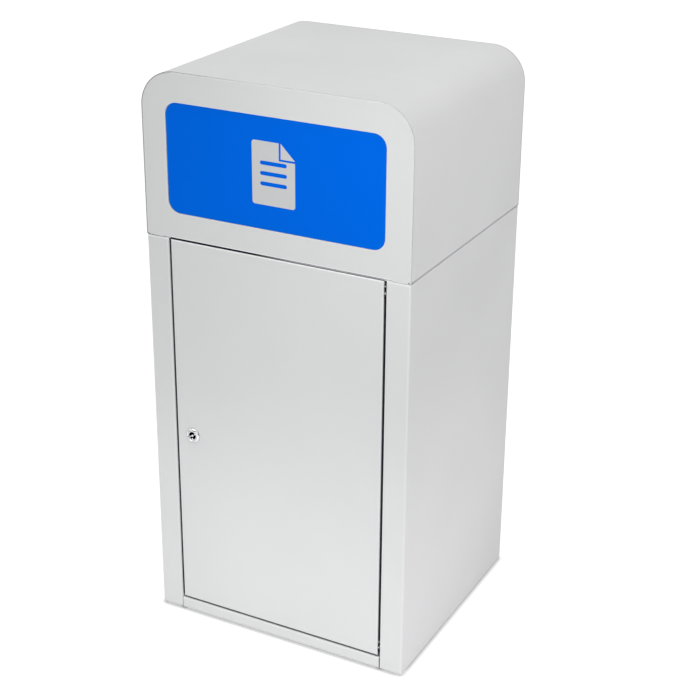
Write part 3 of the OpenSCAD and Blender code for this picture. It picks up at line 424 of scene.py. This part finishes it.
rubber = {
    "dark": (30, 30, 32), "light": (44, 44, 46), "cloud": (60.0, 4.0), "grain": (1500.0, 3.0, 0.6),
    "dust": 0.4, "dustColour": (120, 118, 114), "roughness": (0.62, 0.82), "bump": (0.25, 0.0002), "gloss": 0.35,
}


def blackRubber():
    material, tree = blank("blackRubber")
    point = objectPoint(tree)
    grain = noise(tree, point, *rubber["grain"])
    veil = useGroup(tree, settledDust, Amount=rubber["dust"])["Mask"]
    cloud = noise(tree, point, *rubber["cloud"])
    colour = blendColour(tree, cloud, screenColour(rubber["dark"]), screenColour(rubber["light"]))
    colour = blendColour(tree, veil, colour, screenColour(rubber["dustColour"]))
    rough = ramp(tree, grain, *noiseSpan, *rubber["roughness"])
    finish(tree, colour, rough, grain, rubber["bump"], Specular_IOR_Level=rubber["gloss"])
    return material


foam = {
    # seamShadeColour is the colour of the painted shade in the seam
    "dark": (226, 226, 231), "light": (238, 238, 242), "seamShadeColour": (8, 11, 40), "cloud": (60.0, 4.0),
    "grain": (900.0, 3.0, 0.6), "roughness": (0.62, 0.82), "bump": (0.25, 0.0002), "gloss": 0.1,
    "overDoor": (("across", 0.1640, 0.1610), ("x", -0.03, 0.03, 1.0, 0.45)),
    "overJamb": (("x", -0.162, -0.190, 0.0, 0.95),),
    "front": (("y", -0.170, -0.176),),
}


def hoodFoam():
    # pale closed-cell foam, with painted shade at the front over the door and the left jamb
    material, tree = blank("greyFoam")
    here = readPlace(tree)
    point = objectPoint(tree)
    grain = noise(tree, point, *foam["grain"])
    seamShade = calc(tree, "MAXIMUM", within(tree, here, foam["overDoor"]), within(tree, here, foam["overJamb"]))
    seamShade = calc(tree, "MULTIPLY", seamShade, within(tree, here, foam["front"]))
    cloud = noise(tree, point, *foam["cloud"])
    colour = blendColour(tree, cloud, screenColour(foam["dark"]), screenColour(foam["light"]))
    colour = blendColour(tree, seamShade, colour, screenColour(foam["seamShadeColour"]))
    rough = ramp(tree, grain, *noiseSpan, *foam["roughness"])
    finish(tree, colour, rough, grain, foam["bump"], Specular_IOR_Level=foam["gloss"])
    return material


felt = {
    "dark": (34, 34, 37), "light": (72, 72, 76), "fibre": (2200.0, 6.0, 0.75), "fibreSpan": (0.3, 0.75),
    "roughness": (0.85, 1.0), "bump": (0.8, 0.0004), "sheen": 0.4,
}


def darkFelt():
    material, tree = blank("darkFelt")
    fibre = noise(tree, objectPoint(tree), *felt["fibre"])
    tone = ramp(tree, fibre, *felt["fibreSpan"])
    colour = blendColour(tree, tone, screenColour(felt["dark"]), screenColour(felt["light"]))
    rough = ramp(tree, fibre, *noiseSpan, *felt["roughness"])
    finish(tree, colour, rough, fibre, felt["bump"], Sheen_Weight=felt["sheen"])
    return material


nylon = {
    "light": (232, 229, 218), "dark": (216, 212, 198), "cloud": (240.0, 4.0), "edgeRadius": 0.0003,
    "roughness": (0.38, 0.5), "bump": (0.04, 0.0001),
}


def paleNylon():
    material, tree = blank("paleNylon")
    cloud = noise(tree, objectPoint(tree), *nylon["cloud"])
    edge = useGroup(tree, edgeRound, Radius=nylon["edgeRadius"])
    colour = blendColour(tree, cloud, screenColour(nylon["light"]), screenColour(nylon["dark"]))
    rough = ramp(tree, cloud, *noiseSpan, *nylon["roughness"])
    finish(tree, colour, rough, cloud, nylon["bump"], edge["Normal"])
    return material


film = {
    "light": (203, 204, 204), "dark": (198, 199, 200), "wave": 900.0, "roughness": (0.42, 0.5),
    "bump": (0.06, 0.00008), "gloss": 0.25,
}


def printedFilm():
    material, tree = blank("printedFilm")
    skin = useGroup(tree, coatSkin, Wave=film["wave"])
    colour = blendColour(tree, skin["Tone"], screenColour(film["light"]), screenColour(film["dark"]))
    rough = ramp(tree, skin["Tone"], *noiseSpan, *film["roughness"])
    finish(tree, colour, rough, skin["Height"], film["bump"], Specular_IOR_Level=film["gloss"])
    return material


finishes = {
    "coated_steel": coatedSheet("greyCoat", coat, cabinetMarks),
    "blue_coat": coatedSheet("blueCoat", blue),
    "zinc_steel": zincPlate(),
    "lock_chrome": lockChrome(),
    "galvanised_sheet": galvanisedSheet(),
    "black_rubber": blackRubber(),
    "grey_foam": hoodFoam(),
    "felt": darkFelt(),
    "nylon": paleNylon(),
}
for part in frame["record"]["subparts"]:
    mesh = nodes[part["node"]].data
    mesh.materials.clear()
    mesh.materials.append(finishes[part["material_slot"]])
print("materials placed on", len(nodes), "nodes")


# Page symbol on the flap, a thin film: a sheet with a turned corner and three lines

quarterTurn = math.pi / 2
page = {
    "width": 0.064, "height": 0.086, "corner": 0.004, "turned": 0.021, "slit": 0.0028,
    "lines": (0.014, 0.000, -0.014), "lineWidth": 0.040, "lineHeight": 0.0055,
    "thickness": 0.00012, "centre": (0.0, 0.7065), "arcSteps": 8,
}


def arc(centre, radius, start, turn):
    angles = [start + turn * i / page["arcSteps"] for i in range(page["arcSteps"] + 1)]
    return [(centre[0] + radius * math.cos(a), centre[1] + radius * math.sin(a)) for a in angles]


def pageShapes(spec):
    w, h, r, cut, slit = spec["width"] / 2, spec["height"] / 2, spec["corner"], spec["turned"], spec["slit"]
    outline = arc((-w + r, h - r), r, 2 * quarterTurn, -quarterTurn)
    outline += [(w - cut - slit, h), (w - cut - slit, h - cut - slit), (w, h - cut - slit)]
    outline += arc((w - r, -h + r), r, 0, -quarterTurn) + arc((-w + r, -h + r), r, -quarterTurn, -quarterTurn)
    corner = [(w - cut, h), (w, h - cut), (w - cut, h - cut)]
    half, end = spec["lineWidth"] / 2, spec["lineHeight"] / 2
    holes = [arc((half - end, z), end, -quarterTurn, 2 * quarterTurn)
             + arc((end - half, z), end, quarterTurn, 2 * quarterTurn) for z in spec["lines"]]
    return [(outline, holes), (corner, [])]


def slab(name, shapes, y, thickness, centre, material):
    # closed plates from outlines with holes, front faces at y - thickness
    mesh = bmesh.new()
    for outline, holes in shapes:
        loops = [outline] + holes
        flat = [point for loop in loops for point in loop]
        front, back = [[mesh.verts.new((x + centre[0], depth, z + centre[1])) for x, z in flat]
                       for depth in (y - thickness, y)]
        for a, b, c in tessellate_polygon([[Vector((x, z, 0)) for x, z in loop] for loop in loops]):
            mesh.faces.new((front[a], front[b], front[c]))
            mesh.faces.new((back[a], back[c], back[b]))
        start = 0
        for loop in loops:
            for i in range(len(loop)):
                a, b = start + i, start + (i + 1) % len(loop)
                mesh.faces.new((front[a], front[b], back[b], back[a]))
            start += len(loop)
    bmesh.ops.recalc_face_normals(mesh, faces=mesh.faces)
    data = bpy.data.meshes.new(name)
    mesh.to_mesh(data)
    mesh.free()
    data.materials.append(material)
    piece = bpy.data.objects.new(name, data)
    scene.collection.objects.link(piece)
    return piece


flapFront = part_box("flap_panel")[0].y
pageSymbol = slab("pageSymbol", pageShapes(page), flapFront, page["thickness"], page["centre"], printedFilm())
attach(pageSymbol, "flap")
print("page symbol placed")


# Fastener details, repeated by Geometry Nodes

ridge = {"stepsPerTurn": 28, "sides": 3}
dome = {"segments": 16, "rings": 8}


def newGeometryTree(name, numbers):
    tree = bpy.data.node_groups.new(name, "GeometryNodeTree")
    tree.interface.new_socket("Geometry", in_out="INPUT", socket_type="NodeSocketGeometry")
    for label in numbers:
        tree.interface.new_socket(label, in_out="INPUT", socket_type=number)
    tree.interface.new_socket("Turn", in_out="INPUT", socket_type=vector)
    tree.interface.new_socket("Finish", in_out="INPUT", socket_type="NodeSocketMaterial")
    tree.interface.new_socket("Geometry", in_out="OUTPUT", socket_type="NodeSocketGeometry")
    return tree, *groupEnds(tree)


def endTree(tree, given, result, shape):
    # one copy of the shape at each point, turned the same way
    copies = place(tree, "GeometryNodeInstanceOnPoints", None, {
        "Points": given["Geometry"], "Instance": shape, "Rotation": given["Turn"]})
    real = place(tree, "GeometryNodeRealizeInstances", None, {"Geometry": copies.outputs[0]})
    done = place(tree, "GeometryNodeSetMaterial", None, {"Geometry": real.outputs[0], "Material": given["Finish"]})
    tree.links.new(done.outputs[0], result["Geometry"])
    return tree


def buildThreadTree():
    # a helical ridge of triangular section
    tree, given, result = newGeometryTree("screwThread", ("Radius", "Pitch", "Length", "Depth"))
    turns = calc(tree, "DIVIDE", given["Length"], given["Pitch"])
    path = place(tree, "GeometryNodeCurveSpiral", None, {
        "Resolution": ridge["stepsPerTurn"], "Rotations": turns, "Start Radius": given["Radius"],
        "End Radius": given["Radius"], "Height": given["Length"]})
    section = place(tree, "GeometryNodeCurvePrimitiveCircle", None, {
        "Resolution": ridge["sides"], "Radius": given["Depth"]})
    shape = place(tree, "GeometryNodeCurveToMesh", None, {
        "Curve": path.outputs[0], "Profile Curve": section.outputs[0], "Fill Caps": True})
    return endTree(tree, given, result, shape.outputs[0])


def buildDomeTree():
    # a low round head: a rivet or a spot weld
    tree, given, result = newGeometryTree("lowDome", ("Radius", "Height"))
    ball = place(tree, "GeometryNodeMeshUVSphere", None, {
        "Segments": dome["segments"], "Rings": dome["rings"], "Radius": 1.0})
    size = place(tree, "ShaderNodeCombineXYZ", None, {"X": given["Radius"], "Y": given["Radius"], "Z": given["Height"]})
    shape = place(tree, "GeometryNodeTransform", None, {"Geometry": ball.outputs[0], "Scale": size.outputs[0]})
    return endTree(tree, given, result, shape.outputs[0])


threadTree = buildThreadTree()
domeTree = buildDomeTree()


def repeated(name, tree, points, body, slot, **values):
    mesh = bpy.data.meshes.new(name)
    mesh.from_pydata([tuple(point) for point in points], [], [])
    piece = bpy.data.objects.new(name, mesh)
    scene.collection.objects.link(piece)
    maker = piece.modifiers.new("maker", "NODES")
    maker.node_group = tree
    sockets = {item.name: item.identifier for item in tree.interface.items_tree if item.in_out == "INPUT"}
    for key, value in {**values, "Finish": finishes[slot]}.items():
        maker[sockets[key]] = value
    bpy.context.view_layer.update()
    solid = bpy.data.meshes.new_from_object(piece.evaluated_get(bpy.context.evaluated_depsgraph_get()))
    piece.modifiers.clear()
    piece.data = solid
    solid.name = name
    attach(piece, body)


def threaded(name, points, body, slot, spec, turn=(0.0, 0.0, 0.0)):
    repeated(name, threadTree, points, body, slot, Radius=spec["radius"], Pitch=spec["pitch"], Depth=spec["depth"],
             Length=spec["to"] - spec["from"], Turn=turn)


def domed(name, points, body, spec, turn):
    repeated(name, domeTree, points, body, "zinc_steel", Radius=spec["radius"], Height=spec["height"], Turn=turn)


def mirrored(x, y, z):
    return [(side * x, end * y, z) for side in (-1, 1) for end in (-1, 1)]


feet = {"at": (0.174, 0.136), "radius": 0.0040, "pitch": 0.00125, "depth": 0.00028, "from": 0.0085, "to": 0.0285}
threaded("footThreads", mirrored(*feet["at"], feet["from"]), "cabinet", "zinc_steel", feet)

hoodScrews = {
    "corners": (0.1858, 0.108), "middles": (-0.1375, 0.1658), "radius": 0.0025, "pitch": 0.0008, "depth": 0.0002,
    "from": 0.5935, "to": 0.5992,
}
screwPoints = mirrored(*hoodScrews["corners"], hoodScrews["from"])
screwPoints += [(0.0, y, hoodScrews["from"]) for y in hoodScrews["middles"]]
threaded("hoodScrewThreads", screwPoints, "cabinet", "zinc_steel", hoodScrews)

lockBarrel = {"radius": 0.0090, "pitch": 0.0015, "depth": 0.00032, "from": -0.1780, "to": -0.1603}
lockLow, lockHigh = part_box("lock_body")
lockAxis = (lockLow + lockHigh) / 2
threaded("lockBarrelThread", [(lockAxis.x, lockBarrel["from"], lockAxis.z)], "door", "lock_chrome", lockBarrel,
         (-quarterTurn, 0.0, 0.0))

stiffenerWelds = {"radius": 0.0024, "height": 0.0006, "inset": 0.0075, "end": 0.025, "count": 9, "sheet": 0.001}
hatLow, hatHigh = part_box("door_stiffener")
firstWeld, lastWeld = hatLow.z + stiffenerWelds["end"], hatHigh.z - stiffenerWelds["end"]
step = (lastWeld - firstWeld) / (stiffenerWelds["count"] - 1)
weldPoints = [(x, hatLow.y + stiffenerWelds["sheet"], firstWeld + step * i) for i in range(stiffenerWelds["count"])
              for x in (hatLow.x + stiffenerWelds["inset"], hatHigh.x - stiffenerWelds["inset"])]
domed("stiffenerWelds", weldPoints, "door", stiffenerWelds, (quarterTurn, 0.0, 0.0))

lugRivets = {"radius": 0.0014, "height": 0.0008, "rise": 0.0061, "baseFace": 0.1515, "lugWidth": 0.008}
lugLow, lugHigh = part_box("handle_lugs")
lugMiddle, lugHalf = (lugLow.z + lugHigh.z) / 2, lugRivets["lugWidth"] / 2
rivetPoints = [(side * lugRivets["baseFace"], y, lugMiddle + rise * lugRivets["rise"])
               for side in (-1, 1) for y in (lugLow.y + lugHalf, lugHigh.y - lugHalf) for rise in (-1, 1)]
domed("lugRivets", rivetPoints, "cabinet", lugRivets, (0.0, quarterTurn, 0.0))
print("threads, welds and rivets placed")


# Studio

studio = {
    "skyLight": 0.50, "skyAbove": 0.23, "skySeen": 1.0,
    "floorSize": 40.0, "floorLevel": -0.0002, "floorColour": 0.80, "floorGlow": 0.80, "floorShade": 0.34,
    "contactReach": 0.0068, "contactPower": (2.4, 1.5), "contactSide": (0.188, 0.196), "contactSamples": 12,
    "keyStrength": 0.75, "keyAngle": 60.0, "keyFrom": (-0.30, -0.84, 3.0), "white": (1.0, 1.0, 1.0),
    "fills": [
        {"name": "frontFill", "power": 0.93, "size": (0.9, 0.10), "at": (0.12, -0.60, 0.05),
         "aim": (0.12, -0.18, 0.05)},
        {"name": "hoodFill", "power": 0.27, "size": (0.3, 0.10), "at": (0.12, -0.56, 0.88),
         "aim": (0.07, -0.18, 0.79)},
        {"name": "edgeFill", "power": 0.17, "size": (0.1, 0.30), "at": (0.24, -0.46, 0.72),
         "aim": (0.16, -0.18, 0.72)},
        {"name": "sideFill", "power": 0.90, "size": (0.5, 0.30), "at": (0.75, -0.10, 1.10),
         "aim": (0.2, 0.0, 0.78), "tint": (1.0, 0.95, 1.0)},
        {"name": "lowFill", "power": 0.43, "size": (0.4, 0.10), "at": (0.60, -0.16, 0.05),
         "aim": (0.2, -0.12, 0.05), "tint": (1.0, 0.95, 1.0)},
    ],
    "flagColour": (0.01, 0.01, 0.012, 1), "flagAim": (-0.14, -0.18, 0.3),
    "flags": [
        {"name": "upperFlag", "size": (2.4, 0.5), "at": (-0.4, -2.6, 2.4)},
        {"name": "leftFlag", "size": (0.8, 0.5), "at": (-2.0, -1.0, 0.55)},
        {"name": "sideFlag", "size": (0.6, 2.2), "at": (2.3, -1.9, 0.9)},
    ],
}
view = {
    "at": (0.9728, -1.8289, 1.3140), "yaw": 27.51, "pitch": 23.106, "roll": 0.494,
    "focal": 1554.2, "middleRow": 325, "frame": 700, "sensor": 36, "clipEnd": 100,
}


def grey(tone):
    return (tone, tone, tone, 1)


def seenRays(tree):
    # rays that show the white backdrop: straight from the camera, or by way of metal or glass
    path = place(tree, "ShaderNodeLightPath").outputs
    seen = calc(tree, "MAXIMUM", path["Is Camera Ray"], path["Is Glossy Ray"])
    return calc(tree, "MAXIMUM", seen, path["Is Transmission Ray"])


def aimed(start, target):
    return (Vector(target) - Vector(start)).to_track_quat("-Z", "Y")


def sheetObject(name, corners, material):
    mesh = bpy.data.meshes.new(name)
    mesh.from_pydata(corners, [], [(0, 1, 2, 3)])
    mesh.materials.append(material)
    sheet = bpy.data.objects.new(name, mesh)
    scene.collection.objects.link(sheet)
    return sheet


def rectangle(width, depth, level=0.0):
    x, y = width / 2, depth / 2
    return [(-x, -y, level), (x, -y, level), (x, y, level), (-x, y, level)]


def buildSky():
    # a soft dome, a little stronger overhead
    world = bpy.data.worlds.new("paleSky")
    scene.world = world
    world.use_nodes = True
    tree = world.node_tree
    tree.nodes.clear()
    height = axesOf(tree, place(tree, "ShaderNodeTexCoord").outputs["Generated"])["Z"]
    overhead = calc(tree, "MULTIPLY", calc(tree, "MAXIMUM", height, 0.0), studio["skyAbove"])
    strength = calc(tree, "ADD", overhead, studio["skyLight"])
    light = place(tree, "ShaderNodeBackground", None, {"Color": grey(1), "Strength": strength})
    seen = place(tree, "ShaderNodeBackground", None, {"Color": grey(1), "Strength": studio["skySeen"]})
    mix = place(tree, "ShaderNodeMixShader", None, {0: seenRays(tree), 1: light.outputs[0], 2: seen.outputs[0]})
    place(tree, "ShaderNodeOutputWorld", None, {"Surface": mix.outputs[0]})


def buildFloor():
    # white with a thin contact shadow, which is weaker on the side that the side lights reach
    material, tree = blank("paleFloor")
    lit = place(tree, "ShaderNodeBsdfDiffuse", None, {"Color": grey(studio["floorColour"])})
    contact = openness(tree, studio["contactReach"], studio["contactSamples"])
    across = axesOf(tree, objectPoint(tree))["X"]
    power = ramp(tree, across, *studio["contactSide"], *studio["contactPower"])
    glow = place(tree, "ShaderNodeEmission", None, {
        "Strength": calc(tree, "MULTIPLY", calc(tree, "POWER", contact, power), studio["floorGlow"])})
    shadowed = place(tree, "ShaderNodeBsdfDiffuse", None, {"Color": grey(studio["floorShade"])})
    seen = place(tree, "ShaderNodeAddShader", None, {0: glow.outputs[0], 1: shadowed.outputs[0]})
    mix = place(tree, "ShaderNodeMixShader", None, {0: seenRays(tree), 1: lit.outputs[0], 2: seen.outputs[0]})
    place(tree, "ShaderNodeOutputMaterial", None, {"Surface": mix.outputs[0]})
    corners = rectangle(studio["floorSize"], studio["floorSize"], studio["floorLevel"])
    floor = sheetObject("paleFloor", corners, material)


def placeLamp(light, position, target):
    lamp = bpy.data.objects.new(light.name, light)
    scene.collection.objects.link(lamp)
    lamp.location = position
    lamp.rotation_euler = aimed(position, target).to_euler()
    return lamp


def buildLamps():
    key = bpy.data.lights.new("softKey", "SUN")
    key.energy = studio["keyStrength"]
    key.angle = math.radians(studio["keyAngle"])
    placeLamp(key, studio["keyFrom"], (0, 0, 0))
    for spec in studio["fills"]:
        fillLight = bpy.data.lights.new(spec["name"], "AREA")
        fillLight.shape = "RECTANGLE"
        fillLight.size, fillLight.size_y = spec["size"]
        fillLight.energy = spec["power"]
        fillLight.color = spec.get("tint", studio["white"])
        lamp = placeLamp(fillLight, spec["at"], spec["aim"])
        lamp.visible_camera = lamp.visible_glossy = False


def buildFlags():
    # dark cards that only shiny metal shows, as a photographer sets them beside chrome
    material, tree = blank("darkFlag")
    dark = place(tree, "ShaderNodeBsdfDiffuse", None, {"Color": studio["flagColour"]})
    place(tree, "ShaderNodeOutputMaterial", None, {"Surface": dark.outputs[0]})
    for spec in studio["flags"]:
        put = Matrix.Translation(spec["at"]) @ aimed(spec["at"], studio["flagAim"]).to_matrix().to_4x4()
        flag = sheetObject(spec["name"], [put @ Vector(corner) for corner in rectangle(*spec["size"])], material)
        flag.visible_camera = flag.visible_diffuse = flag.visible_shadow = False


def buildCamera():
    yaw, pitch, roll = (math.radians(view[key]) for key in ("yaw", "pitch", "roll"))
    ahead = Vector((-math.sin(yaw) * math.cos(pitch), math.cos(yaw) * math.cos(pitch), -math.sin(pitch)))
    right = ahead.cross(Vector((0, 0, 1))).normalized()
    up = right.cross(ahead)
    right, up = right * math.cos(roll) + up * math.sin(roll), up * math.cos(roll) - right * math.sin(roll)
    camera = bpy.data.objects.new("camera", bpy.data.cameras.new("camera"))
    scene.collection.objects.link(camera)
    camera.matrix_world = Matrix.Translation(view["at"]) @ Matrix((right, up, -ahead)).transposed().to_4x4()
    camera.data.sensor_width = view["sensor"]
    camera.data.lens = view["focal"] * view["sensor"] / view["frame"]
    camera.data.shift_y = view["middleRow"] / view["frame"] - 0.5
    camera.data.clip_end = view["clipEnd"]
    scene.camera = camera


buildSky()
buildFloor()
buildLamps()
buildFlags()
buildCamera()
scene.view_settings.view_transform = "Standard"
print("studio and camera ready")
